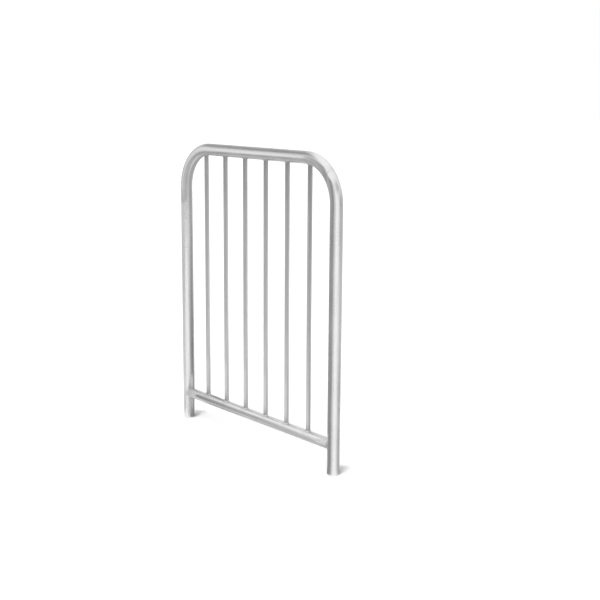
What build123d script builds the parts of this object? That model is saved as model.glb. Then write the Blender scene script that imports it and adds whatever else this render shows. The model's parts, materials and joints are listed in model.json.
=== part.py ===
"""Aluminium guard rail: a bent tube hoop with a lower rail and vertical bars, all welded.

Millimetres, +Z up. X runs along the rail, and the origin is on the ground midway between the feet.
"""

import os

from build123d import *

# Hoop: both posts and the top rail, bent from one tube
overall_height = 1000
overall_width = 800
hoop_diameter = 40
hoop_wall = 3
bend_radius = 135
foot_chamfer = 0.8

# Lower rail
rail_diameter = 35
rail_wall = 3
rail_height = 95

# Vertical bars, let into sockets drilled in the hoop and the lower rail
bar_count = 6
bar_diameter = 15
bar_wall = 2
bar_engagement = 6
socket_clearance = 0.25

# Weld beads
bar_weld_leg = 2.5
rail_weld_leg = 2
bead_toe = 0.5

# Places that follow from the sizes above
hoop_radius = hoop_diameter / 2
rail_radius = rail_diameter / 2
bar_radius = bar_diameter / 2
half_span = overall_width / 2 - hoop_radius
hoop_axis_height = overall_height - hoop_radius
bar_bottom = rail_height + rail_radius - rail_wall - bar_engagement
bar_top = hoop_axis_height - hoop_radius + hoop_wall + bar_engagement
clear_gap = (2 * half_span - hoop_diameter - bar_count * bar_diameter) / (bar_count + 1)
bar_pitch = clear_gap + bar_diameter
bar_places = [(i - (bar_count - 1) / 2) * bar_pitch for i in range(bar_count)]


def bent_rod(radius):
    """A solid round rod along the hoop's centre line, from foot to foot."""
    with BuildPart() as rod:
        with BuildLine():
            FilletPolyline(
                (-half_span, 0, 0),
                (-half_span, 0, hoop_axis_height),
                (half_span, 0, hoop_axis_height),
                (half_span, 0, 0),
                radius=bend_radius,
            )
        with BuildSketch(Plane((-half_span, 0, 0), x_dir=(-1, 0, 0), z_dir=(0, 0, 1))):
            Circle(radius)
        sweep()
    return rod.part


def rail_rod(radius):
    """A solid round rod along the lower rail, between the centre lines of the posts."""
    with BuildPart() as rod:
        with BuildSketch(Plane.YZ):
            with Locations((0, rail_height)):
                Circle(radius)
        extrude(amount=half_span, both=True)
    return rod.part


def bar_rod(x, radius):
    """A solid round rod in a bar's place, as long as the bar."""
    with BuildPart() as rod:
        with BuildSketch(Plane.XY.offset(bar_bottom)):
            with Locations((x, 0)):
                Circle(radius)
        extrude(amount=bar_top - bar_bottom)
    return rod.part


def save(piece, name):
    piece.part.label = name
    export_step(piece.part, f"parts/{name}.step")


os.makedirs("parts", exist_ok=True)

hoop_outside = bent_rod(hoop_radius)
rail_outside = rail_rod(rail_radius)
drills = [bar_rod(x, bar_radius + socket_clearance) for x in bar_places]

# Hoop, open at both feet, with a socket under the top rail for each bar
with BuildPart() as hoop:
    add(hoop_outside)
    add(bent_rod(hoop_radius - hoop_wall), mode=Mode.SUBTRACT)
    foot_edges = hoop.faces().group_by(Axis.Z)[0].edges()
    chamfer(foot_edges, length=foot_chamfer)
    add(drills, mode=Mode.SUBTRACT)
save(hoop, "hoop")

# Lower rail, coped at both ends to sit on the posts
with BuildPart() as lower_rail:
    add(rail_outside)
    add(rail_rod(rail_radius - rail_wall), mode=Mode.SUBTRACT)
    add(hoop_outside, mode=Mode.SUBTRACT)
    add(drills, mode=Mode.SUBTRACT)
save(lower_rail, "lower_rail")

# Bars, all cut to one length
for number, x in enumerate(bar_places, start=1):
    with BuildPart() as bar:
        add(bar_rod(x, bar_radius))
        add(bar_rod(x, bar_radius - bar_wall), mode=Mode.SUBTRACT)
    save(bar, f"bar_{number}")

# Beads round the bars: the part of the bar's collar that lies in the tube's skin, bevelled down
# to a thin toe on both tubes
hoop_skin = bent_rod(hoop_radius + bar_weld_leg)
rail_skin = rail_rod(rail_radius + bar_weld_leg)
bar_bead_bevel = bar_weld_leg - bead_toe

for number, x in enumerate(bar_places, start=1):
    with BuildPart() as head_weld:
        with Locations((x, 0, bar_top)):
            Cylinder(
                bar_radius + bar_weld_leg,
                hoop_diameter,
                align=(Align.CENTER, Align.CENTER, Align.MAX),
            )
        add(hoop_skin, mode=Mode.INTERSECT)
        chamfer(head_weld.faces().sort_by(Axis.Z)[0].edges(), length=bar_bead_bevel)
        add(hoop_outside, mode=Mode.SUBTRACT)
        add(bar_rod(x, bar_radius), mode=Mode.SUBTRACT)
    save(head_weld, f"head_weld_{number}")

    with BuildPart() as foot_weld:
        with Locations((x, 0, bar_bottom)):
            Cylinder(
                bar_radius + bar_weld_leg,
                rail_diameter,
                align=(Align.CENTER, Align.CENTER, Align.MIN),
            )
        add(rail_skin, mode=Mode.INTERSECT)
        chamfer(foot_weld.faces().sort_by(Axis.Z)[-1].edges(), length=bar_bead_bevel)
        add(rail_outside, mode=Mode.SUBTRACT)
        add(bar_rod(x, bar_radius), mode=Mode.SUBTRACT)
    save(foot_weld, f"foot_weld_{number}")

# Beads round the coped ends of the lower rail, made the same way
post_skin = bent_rod(hoop_radius + rail_weld_leg)

for side, name in ((-1, "rail_weld_left"), (1, "rail_weld_right")):
    inwards = Axis((side * half_span, 0, rail_height), (-side, 0, 0))
    with BuildPart() as rail_weld:
        with BuildSketch(Plane(inwards.position, x_dir=(0, 1, 0), z_dir=inwards.direction)):
            Circle(rail_radius + rail_weld_leg)
        extrude(amount=hoop_diameter)
        add(post_skin, mode=Mode.INTERSECT)
        chamfer(
            rail_weld.faces().sort_by(inwards)[-1].edges(),
            length=rail_weld_leg - bead_toe,
        )
        add(hoop_outside, mode=Mode.SUBTRACT)
        add(rail_outside, mode=Mode.SUBTRACT)
    save(rail_weld, name)
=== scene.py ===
"""Looks of the aluminium guard rail: satin drawn tubes, rippled weld beads, and a plain studio.

Metres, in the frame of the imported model: +Z up, X along the rail, the origin on the ground between
the feet.
"""

import json
import math
import random

import bmesh
import bpy
from mathutils import Matrix, Vector


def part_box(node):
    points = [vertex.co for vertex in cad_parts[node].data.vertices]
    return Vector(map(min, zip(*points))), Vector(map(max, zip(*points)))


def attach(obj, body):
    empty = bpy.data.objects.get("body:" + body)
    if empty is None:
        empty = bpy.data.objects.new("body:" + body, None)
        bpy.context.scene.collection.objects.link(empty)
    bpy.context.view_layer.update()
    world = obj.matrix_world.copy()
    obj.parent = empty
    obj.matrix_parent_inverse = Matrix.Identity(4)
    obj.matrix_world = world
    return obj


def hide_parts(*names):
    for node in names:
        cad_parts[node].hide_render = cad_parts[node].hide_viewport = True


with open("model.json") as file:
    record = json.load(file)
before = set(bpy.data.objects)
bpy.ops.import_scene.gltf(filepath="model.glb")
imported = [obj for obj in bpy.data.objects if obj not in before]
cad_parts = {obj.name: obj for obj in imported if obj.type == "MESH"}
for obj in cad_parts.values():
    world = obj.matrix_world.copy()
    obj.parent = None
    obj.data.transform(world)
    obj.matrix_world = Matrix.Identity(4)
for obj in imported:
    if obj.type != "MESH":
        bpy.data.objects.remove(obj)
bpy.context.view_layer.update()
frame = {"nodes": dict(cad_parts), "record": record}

X_AXIS, Y_AXIS, Z_AXIS = Vector((1, 0, 0)), Vector((0, 1, 0)), Vector((0, 0, 1))

# Sizes and places read from the frame
POST_BORE = next(m for m in frame["record"]["mounts"] if m["name"] == "right_post_bore")
POST_X = POST_BORE["pos_m"][0]
HOOP_BORE = POST_BORE["dims"]["r_mm"] / 1000
HOOP_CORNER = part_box("hoop")[1]
HOOP_RADIUS = HOOP_CORNER.x - POST_X
HOOP_AXIS_Z = HOOP_CORNER.z - HOOP_RADIUS
RAIL_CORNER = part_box("lower_rail")[1]
RAIL_RADIUS = RAIL_CORNER.y
RAIL_Z = RAIL_CORNER.z - RAIL_RADIUS
BAR_NODES = sorted(name for name in frame["nodes"] if name.startswith("bar_"))
BAR_LOW, BAR_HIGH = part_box(BAR_NODES[0])
BAR_RADIUS = (BAR_HIGH.x - BAR_LOW.x) / 2
BAR_PLACES = [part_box(name)[1].x - BAR_RADIUS for name in BAR_NODES]
BAR_PITCH = BAR_PLACES[1] - BAR_PLACES[0]

# Sizes that the frame doesn't state, as the solids have them
BEND_RADIUS = 0.135
RAIL_WALL = 0.003
BAR_WALL = 0.002
FOOT_CHAMFER = 0.0008
BAR_LEG = 0.0025
RAIL_LEG = 0.002

# How far the edges of the bars' ends are broken
DEBURR = 0.0003

# The hoop's centre line, from the left foot to the right foot
BEND_START = HOOP_AXIS_Z - BEND_RADIUS
BEND_LENGTH = BEND_RADIUS * math.pi / 2
TOP_LENGTH = 2 * (POST_X - BEND_RADIUS)
HOOP_LENGTH = 2 * (BEND_START + BEND_LENGTH) + TOP_LENGTH

# Fineness of the meshes
TUBE_SIDES = 72
BAR_SIDES = 40
RUN_STEP = 0.03
BEND_STEP = 0.005
SHARP_EDGE = math.radians(35)

# Weld beads: heights and waver are shares of the bead's leg
RIPPLE_PITCH = 0.0018
RIPPLE_SAMPLES = 6
RIPPLE_HEIGHT = 0.10
RIPPLE_BOW = 0.9
BEAD_STEPS = 7
BEAD_CROWN = 0.16
BEAD_WAVER = 0.07
BEAD_WAVES = (2, 3, 5, 8)
BEAD_LUMP = 0.22
BEAD_LUMP_ANGLE = 0.22
BEAD_BITE = 0.0009

# Finish: each noise is 1/scale metres across, and most of its values lie in one of the ranges
DIE_LINES = {"scale": 700, "detail": 3.0, "stretch": 80}
STREAKS = {"scale": 160, "stretch": 25}
CLOUDS = {"scale": 30, "detail": 4.0, "stretch": 2}
WELD_GRAIN = {"scale": 900, "detail": 3.0}
WELD_CLOUDS = {"scale": 150}
TONE_RANGE = (0.35, 0.65)
GLOSS_RANGE = (0.3, 0.7)
PATCH_RANGE = (0.3, 0.6)
STREAK_TONE = 0.5
LINE_GLOSS = 0.4
GRAIN_TONE = 0.5
STREAK_RELIEF = 1.5
RELIEF_DEPTH = 0.0003
TUBE_RELIEF = 0.12
WELD_RELIEF = 0.25
WELD_GREYS = (0.62, 0.80)
WELD_ROUGHNESS = (0.32, 0.5)

# The zone that a weld's heat has dulled
HEAT_REACH = 0.014
HEAT_PATCHES = (0.5, 1.0)
HEAT_SHARE = 0.6
HEAT_DARKENING = 0.85
HEAT_ROUGHNESS = 0.12


def skinned(name, rings):
    """A closed piece over rings of (point, place) pairs, each joined to the next and the last to the first.

    A place is where the point lies on the straightened tube, and the finish is drawn there.
    """
    shape = bmesh.new()
    places = shape.verts.layers.float_vector.new("place")
    loops = []
    for ring in rings:
        loop = []
        for point, place in ring:
            vert = shape.verts.new(point)
            vert[places] = place
            loop.append(vert)
        loops.append(loop)
    for loop, after in zip(loops, loops[1:] + loops[:1]):
        for i, vert in enumerate(loop):
            j = (i + 1) % len(loop)
            shape.faces.new((vert, loop[j], after[j], after[i]))
    bmesh.ops.recalc_face_normals(shape, faces=shape.faces)
    mesh = bpy.data.meshes.new(name)
    shape.to_mesh(mesh)
    shape.free()
    mesh.shade_smooth()
    mesh.set_sharp_from_angle(angle=SHARP_EDGE)
    piece = bpy.data.objects.new(name, mesh)
    bpy.context.scene.collection.objects.link(piece)
    return piece


def circle(centre, across, aside, radius, along, sides):
    """A ring of (point, place) pairs round a tube's centre line."""
    pairs = []
    for i in range(sides):
        turn = math.tau * i / sides
        a = radius * math.cos(turn)
        b = radius * math.sin(turn)
        pairs.append((centre + a * across + b * aside, (a, b, along)))
    return pairs


def spaced(start, end, step):
    """Lengths from start up to, but not at, end, evenly spaced by about a step."""
    count = max(1, round((end - start) / step))
    return [start + (end - start) * i / count for i in range(count)]


def profile(lengths, outside, inside, chamfer):
    """(length, radius) of each ring down the outside of a tube and back through its bore."""
    first, last = lengths[0], lengths[-1]
    inner = [first + chamfer, *lengths[1:-1], last - chamfer]
    out = [(first, outside - chamfer), *((s, outside) for s in inner), (last, outside - chamfer)]
    back = [(last, inside + chamfer), *((s, inside) for s in reversed(inner)), (first, inside + chamfer)]
    return out + back


def hoop_line(along):
    """The hoop's centre line at a length from the left foot, and the way out of its bend there."""
    if along > HOOP_LENGTH / 2:
        centre, outward = hoop_line(HOOP_LENGTH - along)
        return Vector((-centre.x, 0, centre.z)), Vector((-outward.x, 0, outward.z))
    turn = min(max(along - BEND_START, 0) / BEND_RADIUS, math.pi / 2)
    outward = Vector((-math.cos(turn), 0, math.sin(turn)))
    centre = Vector((BEND_RADIUS - POST_X, 0, BEND_START)) + BEND_RADIUS * outward
    centre.z += min(along - BEND_START, 0)
    centre.x += max(along - BEND_START - BEND_LENGTH, 0)
    return centre, outward


def hoop_tube():
    """The hoop, open at both feet."""
    bends = [BEND_START, HOOP_LENGTH - BEND_START - BEND_LENGTH]
    lengths = spaced(0, bends[0], RUN_STEP)
    lengths += spaced(bends[0], bends[0] + BEND_LENGTH, BEND_STEP)
    lengths += spaced(bends[0] + BEND_LENGTH, bends[1], RUN_STEP)
    lengths += spaced(bends[1], bends[1] + BEND_LENGTH, BEND_STEP)
    lengths += spaced(bends[1] + BEND_LENGTH, HOOP_LENGTH, RUN_STEP) + [HOOP_LENGTH]
    rings = []
    for along, radius in profile(lengths, HOOP_RADIUS, HOOP_BORE, FOOT_CHAMFER):
        centre, outward = hoop_line(along)
        rings.append(circle(centre, outward, Y_AXIS, radius, along, TUBE_SIDES))
    return skinned("hoop_tube", rings)


def bar_tube(name, x):
    """One bar, cut square at both ends."""
    lengths = spaced(BAR_LOW.z, BAR_HIGH.z, RUN_STEP) + [BAR_HIGH.z]
    rings = [
        circle(Vector((x, 0, z)), X_AXIS, Y_AXIS, radius, z, BAR_SIDES)
        for z, radius in profile(lengths, BAR_RADIUS, BAR_RADIUS - BAR_WALL, DEBURR)
    ]
    return skinned(name, rings)


def post_face(y):
    """How far from the middle of the rail a post's inner side stands, at a distance from its centre plane."""
    return POST_X - math.sqrt(HOOP_RADIUS**2 - y**2)


def rail_tube():
    """The lower rail, coped at both ends to the posts."""
    shares = [s / POST_X for s in spaced(-POST_X, POST_X, RUN_STEP)] + [1]
    rings = []
    for radius, order in ((RAIL_RADIUS, shares), (RAIL_RADIUS - RAIL_WALL, shares[::-1])):
        for share in order:
            ring = []
            for point, (a, b, _) in circle(RAIL_Z * Z_AXIS, Y_AXIS, Z_AXIS, radius, 0, TUBE_SIDES):
                point.x = share * post_face(point.y)
                ring.append((point, (a, b, point.x)))
            rings.append(ring)
    return skinned("rail_tube", rings)


def bead(name, seat, axis, radius, leg):
    """A rippled weld bead where a branch tube stands on a main tube.

    seat gives the main tube's surface at two offsets from the branch's centre line, and axis points
    up the branch.
    """
    luck = random.Random(name)
    ripples = round(math.tau * (radius + leg / 2) / RIPPLE_PITCH)
    waves = [(count, luck.uniform(0, math.tau)) for count in BEAD_WAVES]
    stop = luck.uniform(0, math.tau)
    rings = []
    for i in range(ripples * RIPPLE_SAMPLES):
        turn = math.tau * i / (ripples * RIPPLE_SAMPLES)
        waver = sum(math.sin(count * turn + start) for count, start in waves) / len(waves)
        reach = leg * (1 + BEAD_WAVER * waver)
        away = (math.cos(turn), math.sin(turn))
        root = seat(radius * away[0], radius * away[1])
        low_toe = seat((radius + reach) * away[0], (radius + reach) * away[1])
        high_toe = root + reach * axis
        hidden = seat((radius - BEAD_BITE) * away[0], (radius - BEAD_BITE) * away[1]) - BEAD_BITE * axis
        outward = ((low_toe + high_toe) / 2 - root).normalized()
        past_stop = (turn - stop + math.pi) % math.tau - math.pi
        lump = BEAD_LUMP * math.exp(-((past_stop / BEAD_LUMP_ANGLE) ** 2))
        ring = []
        for k in range(BEAD_STEPS + 1):
            share = k / BEAD_STEPS
            rise = 4 * share * (1 - share)
            phase = (i / RIPPLE_SAMPLES + RIPPLE_BOW * rise) % 1
            ripple = RIPPLE_HEIGHT * (1 - (2 * phase - 1) ** 2)
            point = high_toe.lerp(low_toe, share) + reach * rise * (BEAD_CROWN + ripple + lump) * outward
            ring.append((point, (radius * turn, leg * share, 0)))
        ring.append((hidden, (radius * turn, leg, 0)))
        rings.append(ring)
    return skinned(name, rings)


def hoop_underside(x, y):
    """Height of the hoop's lower side at a place between the posts."""
    inner = BEND_RADIUS - math.sqrt(HOOP_RADIUS**2 - y**2)
    into_bend = max(abs(x) - POST_X + BEND_RADIUS, 0)
    return BEND_START + math.sqrt(inner**2 - into_bend**2)


def head_bead(name, x):
    """The bead round a bar under the hoop."""

    def seat(p, q):
        return Vector((x + p, q, hoop_underside(x + p, q)))

    return bead(name, seat, -Z_AXIS, BAR_RADIUS, BAR_LEG)


def foot_bead(name, x):
    """The bead round a bar on the lower rail."""

    def seat(p, q):
        return Vector((x + p, q, RAIL_Z + math.sqrt(RAIL_RADIUS**2 - q**2)))

    return bead(name, seat, Z_AXIS, BAR_RADIUS, BAR_LEG)


def rail_bead(name, side):
    """The bead round an end of the lower rail; side is -1 on the left and 1 on the right."""

    def seat(p, q):
        return Vector((side * post_face(p), p, RAIL_Z + q))

    return bead(name, seat, -side * X_AXIS, RAIL_RADIUS, RAIL_LEG)


def node(tree, kind, settings=None, **inputs):
    """A new node's first output.

    Each input is a value, or an output to link to it. It is named with _ for a space, or by a letter
    and its number.
    """
    made = tree.nodes.new("ShaderNode" + kind)
    for key, value in (settings or {}).items():
        setattr(made, key, value)
    for key, value in inputs.items():
        socket = made.inputs[int(key[1:]) if key[1:].isdigit() else key.replace("_", " ")]
        if isinstance(value, bpy.types.NodeSocket):
            tree.links.new(value, socket)
        else:
            socket.default_value = value
    return made.outputs[0]


def maths(tree, operation, *values):
    """The result of a sum on values or outputs."""
    return node(tree, "Math", {"operation": operation}, **{f"i{n}": v for n, v in enumerate(values)})


def spread(tree, value, low, high, to_low, to_high):
    """A value taken from one range to another, and held at its ends."""
    return node(
        tree, "MapRange", None,
        Value=value, From_Min=low, From_Max=high, To_Min=to_low, To_Max=to_high,
    )


def noise(tree, where, scale, detail=2.0, stretch=1.0):
    """Noise about 1/scale metres across, drawn out along the tube by stretch."""
    drawn = node(tree, "VectorMath", {"operation": "MULTIPLY"}, i0=where, i1=(1, 1, 1 / stretch))
    return node(tree, "TexNoise", None, Vector=drawn, Scale=scale, Detail=detail)


def weighed(tree, first, weight, second):
    """Two noises in one: the first by its weight, the second by the rest."""
    return maths(
        tree, "ADD", maths(tree, "MULTIPLY", first, weight), maths(tree, "MULTIPLY", second, 1 - weight)
    )


def mixed(tree, share, first, second):
    """A colour between two greys."""
    made = tree.nodes.new("ShaderNodeMix")
    made.data_type = "RGBA"
    tree.links.new(share, made.inputs["Factor"])
    for name, value in (("A", first), ("B", second)):
        socket = next(s for s in made.inputs if s.name == name and s.type == "RGBA")
        if isinstance(value, bpy.types.NodeSocket):
            tree.links.new(value, socket)
        else:
            socket.default_value = (value, value, value, 1)
    return next(s for s in made.outputs if s.type == "RGBA")


def metal(name):
    """A bare metal material, its node tree and its shader."""
    material = bpy.data.materials.new(name)
    material.use_nodes = True
    tree = material.node_tree
    shader = tree.nodes["Principled BSDF"]
    shader.inputs["Metallic"].default_value = 1
    return material, tree, shader


def weld_nearness(tree):
    """1 at a weld's toe and 0 past the zone that its heat has dulled."""
    where = tree.nodes.new("ShaderNodeTexCoord").outputs["Object"]
    split = tree.nodes.new("ShaderNodeSeparateXYZ")
    tree.links.new(where, split.inputs[0])
    x, y, z = split.outputs
    shifted = maths(tree, "SUBTRACT", x, BAR_PLACES[0] - BAR_PITCH / 2)
    from_bar = maths(tree, "SUBTRACT", maths(tree, "FLOORED_MODULO", shifted, BAR_PITCH), BAR_PITCH / 2)
    from_post = maths(tree, "SUBTRACT", maths(tree, "ABSOLUTE", x), POST_X - HOOP_RADIUS)
    near = None
    for along, height, radius in (
        (from_bar, HOOP_AXIS_Z - HOOP_RADIUS, BAR_RADIUS + BAR_LEG),
        (from_bar, RAIL_Z + RAIL_RADIUS, BAR_RADIUS + BAR_LEG),
        (from_post, RAIL_Z, RAIL_RADIUS + RAIL_LEG),
    ):
        offset = node(tree, "CombineXYZ", None, X=along, Y=y, Z=maths(tree, "SUBTRACT", z, height))
        length = tree.nodes.new("ShaderNodeVectorMath")
        length.operation = "LENGTH"
        tree.links.new(offset, length.inputs[0])
        here = spread(tree, length.outputs["Value"], radius, radius + HEAT_REACH, 1.0, 0.0)
        near = here if near is None else maths(tree, "MAXIMUM", near, here)
    return near


def drawn_metal(name, dark, light, smooth, rough):
    """Satin drawn aluminium: die lines and streaks along the tube, faint clouds, dull zones by the welds."""
    material, tree, shader = metal(name)
    attribute = tree.nodes.new("ShaderNodeAttribute")
    attribute.attribute_name = "place"
    place = attribute.outputs["Vector"]
    lines = noise(tree, place, **DIE_LINES)
    streaks = noise(tree, place, **STREAKS)
    clouds = noise(tree, place, **CLOUDS)
    heat = maths(tree, "MULTIPLY", weld_nearness(tree), spread(tree, clouds, *PATCH_RANGE, *HEAT_PATCHES))

    tone = weighed(tree, streaks, STREAK_TONE, clouds)
    colour = mixed(tree, spread(tree, tone, *TONE_RANGE, 0.0, 1.0), dark, light)
    colour = mixed(tree, maths(tree, "MULTIPLY", heat, HEAT_SHARE), colour, dark * HEAT_DARKENING)
    tree.links.new(colour, shader.inputs["Base Color"])

    gloss = weighed(tree, lines, LINE_GLOSS, clouds)
    roughness = spread(tree, gloss, *GLOSS_RANGE, smooth, rough)
    roughness = maths(tree, "ADD", roughness, maths(tree, "MULTIPLY", heat, HEAT_ROUGHNESS))
    tree.links.new(roughness, shader.inputs["Roughness"])

    relief = maths(tree, "ADD", lines, maths(tree, "MULTIPLY", streaks, STREAK_RELIEF))
    bump = node(tree, "Bump", None, Height=relief, Strength=TUBE_RELIEF, Distance=RELIEF_DEPTH)
    tree.links.new(bump, shader.inputs["Normal"])
    return material


def weld_metal():
    """As-laid weld metal: grey, grainy and unevenly dull."""
    material, tree, shader = metal("weld_metal")
    where = tree.nodes.new("ShaderNodeTexCoord").outputs["Object"]
    grain = noise(tree, where, **WELD_GRAIN)
    clouds = noise(tree, where, **WELD_CLOUDS)
    tone = weighed(tree, grain, GRAIN_TONE, clouds)
    colour = mixed(tree, spread(tree, tone, *TONE_RANGE, 0.0, 1.0), *WELD_GREYS)
    tree.links.new(colour, shader.inputs["Base Color"])
    tree.links.new(spread(tree, clouds, *GLOSS_RANGE, *WELD_ROUGHNESS), shader.inputs["Roughness"])
    bump = node(tree, "Bump", None, Height=grain, Strength=WELD_RELIEF, Distance=RELIEF_DEPTH)
    tree.links.new(bump, shader.inputs["Normal"])
    return material


tube_metal = drawn_metal("tube_metal", dark=0.79, light=0.88, smooth=0.24, rough=0.33)
bar_metal = drawn_metal("bar_metal", dark=0.58, light=0.66, smooth=0.44, rough=0.54)
bead_metal = weld_metal()


def dress(piece, material, cad_node):
    """Gives a piece its finish, and puts it in the place of its solid."""
    piece.data.materials.append(material)
    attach(piece, "root")
    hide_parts(cad_node)


dress(hoop_tube(), tube_metal, "hoop")
dress(rail_tube(), tube_metal, "lower_rail")
for number, x in enumerate(BAR_PLACES, start=1):
    dress(bar_tube(f"bar_tube_{number}", x), bar_metal, f"bar_{number}")
    dress(head_bead(f"head_bead_{number}", x), bead_metal, f"head_weld_{number}")
    dress(foot_bead(f"foot_bead_{number}", x), bead_metal, f"foot_weld_{number}")
for side, name in ((-1, "left"), (1, "right")):
    dress(rail_bead(f"rail_bead_{name}", side), bead_metal, f"rail_weld_{name}")

# Studio light: white for the camera and in the metal, weak for what it lights
WORLD_LEVEL = 0.15
SUN_STRENGTH = 2.6
SUN_ANGLE = math.radians(85)
SUN_HEIGHT = math.radians(55)
SUN_BEARING = math.radians(-75)

# Floor: lifted to white for the camera, except in the streaks behind the feet
FLOOR_SIZE = 60
FLOOR_COLOUR = 0.9
FLOOR_LIFT = 0.45
MIRRORED_LIFT = 0.27

# The streaks: the floor is shaded where a foot stands in the way of two low bearings, to either side of the
# middle one. The reach stays below the lower rail, which leaves no streak.
SHADE_REACH = 0.076
SHADE_HEIGHT = math.radians(5)
SHADE_BEARING = math.radians(-66)
SHADE_SPREAD = math.radians(66)
SHADE_SAMPLES = 32
FULL_SHADE = 0.04


def light_world():
    """White wherever the camera looks past the rail or the metal mirrors the open studio."""
    world = bpy.data.worlds.new("studio")
    world.use_nodes = True
    bpy.context.scene.world = world
    tree = world.node_tree
    path = tree.nodes.new("ShaderNodeLightPath")
    white = maths(tree, "MAXIMUM", path.outputs["Is Camera Ray"], path.outputs["Is Glossy Ray"])
    white = maths(tree, "MAXIMUM", white, path.outputs["Is Transmission Ray"])
    background = tree.nodes["Background"]
    background.inputs["Color"].default_value = (1, 1, 1, 1)
    tree.links.new(spread(tree, white, 0, 1, WORLD_LEVEL, 1.0), background.inputs["Strength"])


def light_sun():
    """One broad soft lamp in front of the rail, which the metal doesn't mirror."""
    sun = bpy.data.lights.new("sun", "SUN")
    sun.energy = SUN_STRENGTH
    sun.angle = SUN_ANGLE
    lamp = bpy.data.objects.new("sun", sun)
    lamp.rotation_euler = (math.pi / 2 - SUN_HEIGHT, 0, math.pi / 2 + SUN_BEARING)
    lamp.visible_glossy = False
    bpy.context.scene.collection.objects.link(lamp)


def open_sky(tree, bearing):
    """How open the floor is towards a bearing, within the reach of the feet's shadows."""
    occlusion = tree.nodes.new("ShaderNodeAmbientOcclusion")
    occlusion.samples = SHADE_SAMPLES
    occlusion.inputs["Distance"].default_value = SHADE_REACH
    outward = math.cos(SHADE_HEIGHT)
    slant = node(
        tree, "CombineXYZ", None,
        X=outward * math.cos(bearing), Y=outward * math.sin(bearing), Z=math.sin(SHADE_HEIGHT),
    )
    tree.links.new(slant, occlusion.inputs["Normal"])
    return occlusion.outputs["AO"]


def floor_material():
    """A pale floor that reads as white, with soft shadows behind the feet."""
    material = bpy.data.materials.new("floor")
    material.use_nodes = True
    tree = material.node_tree
    shader = tree.nodes["Principled BSDF"]
    shader.inputs["Base Color"].default_value = (FLOOR_COLOUR, FLOOR_COLOUR, FLOOR_COLOUR, 1)
    shader.inputs["Roughness"].default_value = 1
    shader.inputs["Specular IOR Level"].default_value = 0
    shader.inputs["Emission Color"].default_value = (1, 1, 1, 1)
    one_side = open_sky(tree, SHADE_BEARING + SHADE_SPREAD)
    other_side = open_sky(tree, SHADE_BEARING - SHADE_SPREAD)
    openness = maths(tree, "MAXIMUM", one_side, other_side)
    lift = spread(tree, openness, 1 - FULL_SHADE, 1.0, 0.0, FLOOR_LIFT)
    path = tree.nodes.new("ShaderNodeLightPath")
    seen = maths(tree, "MULTIPLY", path.outputs["Is Camera Ray"], lift)
    mirrored = maths(tree, "MAXIMUM", path.outputs["Is Glossy Ray"], path.outputs["Is Transmission Ray"])
    mirrored = maths(tree, "MULTIPLY", mirrored, MIRRORED_LIFT)
    tree.links.new(maths(tree, "ADD", seen, mirrored), shader.inputs["Emission Strength"])
    return material


def staged(name, mesh, material):
    """A piece of the studio, which isn't part of the object."""
    mesh.materials.append(material)
    piece = bpy.data.objects.new(name, mesh)
    bpy.context.scene.collection.objects.link(piece)
    return piece


def lay_floor():
    """A level square under the rail."""
    half = FLOOR_SIZE / 2
    mesh = bpy.data.meshes.new("floor")
    corners = [(-half, -half, 0), (half, -half, 0), (-half, half, 0), (half, half, 0)]
    mesh.from_pydata(corners, [], [(0, 1, 3, 2)])
    staged("floor", mesh, floor_material())


light_world()
light_sun()
lay_floor()

# Cards: glowing grey sheets that only the metal mirrors, painted reflections that give its tubes their darker
# and lighter bands
CARD_STEPS = 6

# Level cards: the ceiling, the shelf before the top rail, and mats, at other heights where they overlap
CEILING_Z = 1.8
SHELF_Z = 0.78
LOW_MAT, MIDDLE_MAT, HIGH_MAT = 0.002, 0.003, 0.004

# Round walls, by their radius about the middle of the rail
LEFT_WALL = 1.9
FRONT_LEFT_WALL = 1.8
FRONT_WALL = 1.3
RIGHT_WALL = 6
RIGHT_CEILING_WALL = 2.4

# Flags that stand along the rail, by their y
RAIL_FLAG_Y = -0.035
FRONT_Y = -0.07
BACK_Y = 0.07

# Dividers across the rail, by their x: two between a post and the next bar, one close by the right post
LEFT_DIVIDER_X = -0.3
BAR_DIVIDER_X = 0.328
RIGHT_DIVIDER_X = 0.358

# Stops of the bar flag, from each bar to the right
BAR_FLAG_STEPS = (0, 0.03, 0.06, 0.075)


def card_material():
    """A matt card that glows by the grey of its mesh."""
    material = bpy.data.materials.new("card")
    material.use_nodes = True
    tree = material.node_tree
    tree.nodes.remove(tree.nodes["Principled BSDF"])
    grey = tree.nodes.new("ShaderNodeAttribute")
    grey.attribute_name = "grey"
    glow = node(tree, "Emission", None, Color=(1, 1, 1, 1), Strength=grey.outputs["Fac"])
    tree.links.new(glow, tree.nodes["Material Output"].inputs["Surface"])
    return material


grey_card = card_material()


def between(stops, place):
    """The value at a place in a list, between its neighbours where the place isn't whole."""
    first = min(int(place), len(stops) - 2)
    return stops[first] + (stops[first + 1] - stops[first]) * (place - first)


def card(name, across, up, point, greys):
    """A glowing card that only the metal sees, whose greys paint reflections on the tubes.

    across and up are the stops of a grid, point gives the place of each pair of them, and greys has a
    row for each stop upwards, with the grey at each stop across. White is 1.
    """
    shape = bmesh.new()
    layer = shape.verts.layers.float.new("grey")
    steps = [i / CARD_STEPS for i in range((len(across) - 1) * CARD_STEPS + 1)]
    rows = []
    for height, tones in zip(up, greys):
        row = []
        for step in steps:
            vert = shape.verts.new(point(between(across, step), height))
            vert[layer] = between(tones, step)
            row.append(vert)
        rows.append(row)
    for low, high in zip(rows, rows[1:]):
        for i in range(len(steps) - 1):
            shape.faces.new((low[i], low[i + 1], high[i + 1], high[i]))
    mesh = bpy.data.meshes.new(name)
    shape.to_mesh(mesh)
    shape.free()
    piece = staged(name, mesh, grey_card)
    piece.visible_camera = False
    piece.visible_diffuse = False
    piece.visible_transmission = False
    piece.visible_shadow = False


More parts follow.
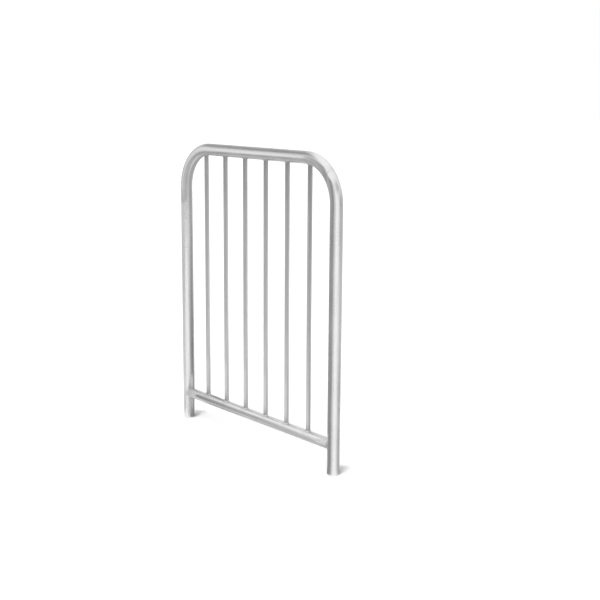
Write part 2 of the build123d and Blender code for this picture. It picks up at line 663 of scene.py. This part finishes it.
def wall(radius):
    """Places on a round wall about the rail, by bearing in degrees and height."""
    return lambda bearing, z: (
        radius * math.cos(math.radians(bearing)),
        radius * math.sin(math.radians(bearing)),
        z,
    )


def mat(x, z):
    """Places on a round mat about a point of the rail's centre plane, by bearing in degrees and radius."""
    return lambda bearing, radius: (
        x + radius * math.cos(math.radians(bearing)),
        radius * math.sin(math.radians(bearing)),
        z,
    )


def upright(y):
    """Places on a card that stands along the rail, by x and height."""
    return lambda x, z: (x, y, z)


def crosswise(x):
    """Places on a card that stands across the rail, by y and height."""
    return lambda y, z: (x, y, z)


def level(z):
    """Places on a level card, by x and y."""
    return lambda x, y: (x, y, z)


# Above and to the left, for the upper sides of the top rail and the left faces of the tubes
card(
    "ceiling", (-1.7, -1, -0.6, -0.3, -0.05), (-0.85, -0.35, 0.2, 0.9, 1.7), level(CEILING_Z),
    (
        (0.64, 0.57, 0.46, 0.5, 0.6),
        (0.34, 0.29, 0.28, 0.36, 0.6),
        (0.38, 0.34, 0.4, 0.65, 1),
        (0.6, 0.7, 0.9, 1, 1),
        (0.8, 1, 1, 1, 1),
    ),
)
card("back_ceiling", (-3.2, -1.7), (0.8, 2.2), level(CEILING_Z), ((0.6, 0.6), (0.6, 0.6)))
card(
    "left_wall", (-98, -108, -130, -142, -156, -190, -200),
    (0, 0.2, 0.43, 0.7, 0.85, 1, 1.4, 1.75, 2.1, 2.3), wall(LEFT_WALL),
    (
        (1, 0.6, 0.6, 0.62, 0.62, 0.6, 1),
        (1, 0.55, 0.55, 0.58, 0.6, 0.58, 1),
        (1, 0.54, 0.6, 0.62, 0.6, 0.56, 1),
        (1, 0.46, 0.84, 0.95, 0.64, 0.6, 1),
        (1, 0.46, 0.9, 0.98, 0.44, 0.58, 1),
        (1, 0.7, 1, 1, 0.76, 0.52, 1),
        (1, 1, 0.76, 0.98, 0.76, 0.52, 1),
        (1, 1, 0.52, 0.78, 0.74, 0.58, 1),
        (1, 1, 0.7, 0.6, 0.6, 0.7, 1),
        (1, 1, 1, 1, 1, 1, 1),
    ),
)
card(
    "front_left_card", (-80, -87, -118, -132), (0.95, 1.2, 1.9, 2.4), wall(FRONT_LEFT_WALL),
    ((1, 0.6, 0.6, 1), (1, 0.36, 0.38, 1), (1, 0.36, 0.42, 1), (1, 1, 1, 1)),
)

# On the floor, for the lower ends of the posts and the lower side of the rail
card(
    "left_mat", (-116, -125, -190), (0.5, 0.9, 1.9), mat(0, LOW_MAT),
    ((1, 1, 1), (0.95, 0.76, 0.74), (0.8, 0.6, 0.6)),
)
card("left_end_mat", (-0.64, -0.42), (-0.24, -0.04), level(MIDDLE_MAT), ((0.6, 0.6), (0.6, 0.6)))
card(
    "back_mat", (75, 85, 120, 135, 170), (0.5, 1.2, 12), mat(0, LOW_MAT),
    ((1, 0.6, 0.55, 0.4, 0.4), (1, 0.55, 0.5, 0.38, 0.38), (1, 0.5, 0.5, 0.38, 0.38)),
)
# Painted shade: a grey card under the rail that stands in for the floor's shadow beneath it, as the rail
# mirrors it
card("under_mat", (-0.345, -0.1, 0.32), (-0.2, 0.15), level(LOW_MAT), ((0.6, 0.6, 0.58), (0.6, 0.6, 0.58)))

# Before the lower rail, for the dark line along it
card(
    "rail_flag", (-0.35, -0.335, -0.2, -0.05, 0.12, 0.3),
    (0.02, 0.06, 0.078, 0.09, 0.106, 0.125, 0.15, 0.24), upright(RAIL_FLAG_Y),
    (
        (1, 0.6, 0.62, 0.66, 0.6, 0.6),
        (1, 0.55, 0.62, 0.66, 0.56, 0.55),
        (1, 0.44, 0.52, 0.62, 0.54, 0.52),
        (1, 0.26, 0.32, 0.4, 0.46, 0.58),
        (1, 0.28, 0.36, 0.44, 0.6, 0.85),
        (1, 0.7, 0.82, 0.95, 1, 1),
        (1, 0.82, 1, 1, 1, 1),
        (1, 0.85, 1, 1, 1, 0.9),
    ),
)

# Round the feet, for their dark sides: dark cards that paint the floor's contact shade into the feet's
# reflections
card(
    "left_foot_mat", (-25, 5, 75), (0.02, 0.08, 0.22), mat(-POST_X, HIGH_MAT),
    ((0.28, 0.24, 0.24), (0.5, 0.28, 0.25), (0.65, 0.4, 0.34)),
)
card(
    "right_foot_mat", (-60, -85, -105, -180), (0.02, 0.06), mat(POST_X, HIGH_MAT),
    ((0.8, 0.4, 0.26, 0.26), (0.8, 0.4, 0.26, 0.26)),
)

# To the right, for the right faces of the tubes and the outside of the right bend
card(
    "right_mat", (-5, 7, 27, 51, 85), (0.02, 1, 2.4, 6), mat(POST_X, MIDDLE_MAT),
    (
        (0.9, 0.72, 0.54, 0.43, 0.5),
        (1, 0.78, 0.6, 0.46, 0.5),
        (1, 1, 0.86, 0.66, 0.62),
        (1, 0.66, 0.45, 0.45, 0.55),
    ),
)
card(
    "right_wall", (-8, 7, 22, 60, 85, 130, 142), (0, 1.2, 2, 3.2, 4.8, 6), wall(RIGHT_WALL),
    (
        (1, 0.62, 0.38, 0.44, 0.58, 0.6, 1),
        (1, 0.62, 0.4, 0.46, 0.7, 0.6, 1),
        (1, 0.8, 0.6, 0.65, 0.78, 0.5, 1),
        (1, 1, 1, 0.85, 0.7, 0.6, 1),
        (1, 1, 1, 0.9, 0.7, 0.7, 1),
        (1, 1, 1, 1, 1, 1, 1),
    ),
)
card(
    "right_ceiling", (-32, -18, 28, 42), (1.4, 1.9, 2.3, 2.9), wall(RIGHT_CEILING_WALL),
    ((1, 1, 1, 1), (1, 0.5, 0.44, 1), (1, 0.5, 0.44, 1), (1, 1, 1, 1)),
)

# In front, for the left bend and the lower side of the top rail; the shelf's dark edge close under the rail
# paints shade on the rail's lower side as a reflection
card("front_card", (-100, -45), (0.53, 0.64, 1.3), wall(FRONT_WALL), ((0.62, 0.62), (0.4, 0.42), (0.38, 0.4)))
card(
    "shelf", (-0.8, -0.46, -0.4, -0.36, -0.31, -0.2, 0.1, 0.2), (-0.6, -0.42, -0.3, -0.1, -0.05),
    level(SHELF_Z),
    (
        (0.75, 0.75, 0.75, 0.75, 0.75, 0.7, 0.65, 0.95),
        (0.56, 0.58, 0.58, 0.58, 0.58, 0.52, 0.5, 0.85),
        (0.46, 0.54, 0.54, 0.54, 0.56, 0.5, 0.46, 0.8),
        (0.26, 0.28, 0.38, 0.46, 0.5, 0.36, 0.3, 0.8),
        (0.26, 0.36, 0.62, 0.76, 0.72, 0.32, 0.24, 0.8),
    ),
)

# Before the bars and the right post, for the dark bands on their left; the dividers close by the right post
# paint shade into its inner side as a dark reflection
card(
    "bar_flag", [place + step for place in BAR_PLACES for step in BAR_FLAG_STEPS],
    (0.2, 0.55, 0.75, 0.95), upright(FRONT_Y),
    (
        (0.9, 0.9, 0.9, 0.9) * len(BAR_PLACES),
        (0.66, 0.54, 0.58, 0.74) * len(BAR_PLACES),
        (0.95, 0.3, 0.33, 1) * len(BAR_PLACES),
        (0.46, 0.26, 0.27, 0.5) * len(BAR_PLACES),
    ),
)
card(
    "corner_flag", (0.2, 0.3, 0.35), (0.95, 1.01), upright(FRONT_Y),
    ((0.64, 0.44, 0.4), (0.36, 0.34, 0.36)),
)
card(
    "right_flag", (RIGHT_DIVIDER_X, 0.387, 0.394, 0.43), (0, 0.5, 0.95), upright(FRONT_Y),
    ((0.3, 0.36, 0.7, 0.85), (0.36, 0.38, 0.66, 0.8), (0.28, 0.22, 0.6, 0.7)),
)
card(
    "right_low_divider", (-0.024, -0.045, FRONT_Y), (0, 0.13), crosswise(RIGHT_DIVIDER_X),
    ((0.34, 0.27, 0.27), (0.34, 0.27, 0.27)),
)
card(
    "right_divider", (-0.012, -0.045, FRONT_Y), (0.13, 0.4, 0.75, 0.95), crosswise(RIGHT_DIVIDER_X),
    ((0.34, 0.27, 0.27), (0.38, 0.32, 0.32), (0.36, 0.3, 0.3), (0.55, 0.42, 0.36)),
)
card(
    "bar_divider", (-0.025, -0.3), (0.1, 0.2, 0.95), crosswise(BAR_DIVIDER_X),
    ((0.9, 0.9), (0.9, 0.9), (0.33, 0.4)),
)

# Between the left post and bar 1, and behind the bars, for the faces that look to the right and back; the
# dark sheets by the left post paint shade into its inner side as a dark reflection
card(
    "left_flag", (-0.345, LEFT_DIVIDER_X), (0, 0.3, 0.8, 0.9), upright(BACK_Y),
    ((0.2, 0.2), (0.24, 0.22), (0.36, 0.34), (0.5, 0.48)),
)
card(
    "left_divider", (-0.025, 0, 0.02, BACK_Y), (0.14, 0.22, 0.45, 0.65, 0.9), crosswise(LEFT_DIVIDER_X),
    (
        (0.66, 0.46, 0.34, 0.26),
        (0.5, 0.36, 0.26, 0.2),
        (0.66, 0.46, 0.33, 0.25),
        (0.9, 0.62, 0.46, 0.36),
        (0.64, 0.46, 0.38, 0.34),
    ),
)
card(
    "back_flag", (LEFT_DIVIDER_X, -0.24, 0.36), (0, 0.2, 0.45, 0.95), upright(BACK_Y),
    ((0.5, 0.7, 0.66), (0.6, 0.8, 0.76), (0.95, 1, 1), (0.5, 0.5, 0.5)),
)

# Camera, fitted to the outlines of the tubes in the photograph
CAMERA_PLACE = Vector((2.5956, -2.1415, 1.1941))
CAMERA_BEARING = 0.8374
CAMERA_PITCH = 0.1756
CAMERA_ROLL = 0.0065
CAMERA_SHIFT = -0.05
FOCAL_PIXELS = 1036.71
FRAME_PIXELS = 600
SENSOR = 36

camera = bpy.data.cameras.new("camera")
camera.sensor_width = SENSOR
camera.lens = FOCAL_PIXELS / FRAME_PIXELS * SENSOR
camera.shift_y = CAMERA_SHIFT
eye = bpy.data.objects.new("camera", camera)
aim = Matrix.Rotation(CAMERA_BEARING, 3, "Z") @ Matrix.Rotation(math.pi / 2 - CAMERA_PITCH, 3, "X")
aim = aim @ Matrix.Rotation(CAMERA_ROLL, 3, "Z")
eye.matrix_world = Matrix.Translation(CAMERA_PLACE) @ aim.to_4x4()
bpy.context.scene.collection.objects.link(eye)
bpy.context.scene.camera = eye
bpy.context.scene.view_settings.view_transform = "Standard"

bpy.context.view_layer.update()
